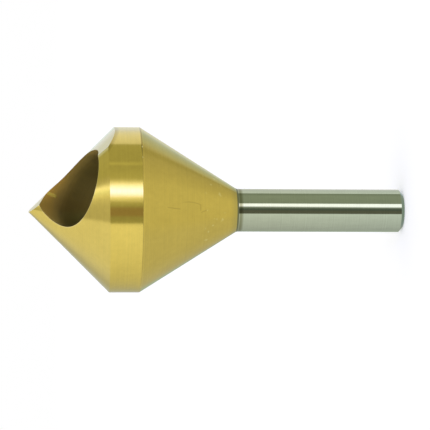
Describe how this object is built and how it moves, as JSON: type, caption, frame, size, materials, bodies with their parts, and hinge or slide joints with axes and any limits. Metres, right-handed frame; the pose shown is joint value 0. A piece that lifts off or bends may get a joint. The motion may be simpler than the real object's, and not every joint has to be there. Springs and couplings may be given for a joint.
{
  "type": "countersink bit",
  "caption": "Countersink and deburring bit: a slanted chip hole through the coned head forms the cutting edge on its relief-ground 90 degree point, on a plain round shank.",
  "frame": {"origin": "centre of the shank's flat end face, on the tool axis", "axes": "+Z along the tool axis from the shank to the point; the chip hole opens on the point cone towards -Y and on the rear cone towards +Y"},
  "size_m": [0.023, 0.023, 0.0523],
  "materials": {
    "tool_steel": "ground tool steel, with a thin gold-coloured hard coating on the head and a bare shank"
  },
  "bodies": {
    "root": {"countersink_bit": "tool_steel"}
  },
  "joints": []
}
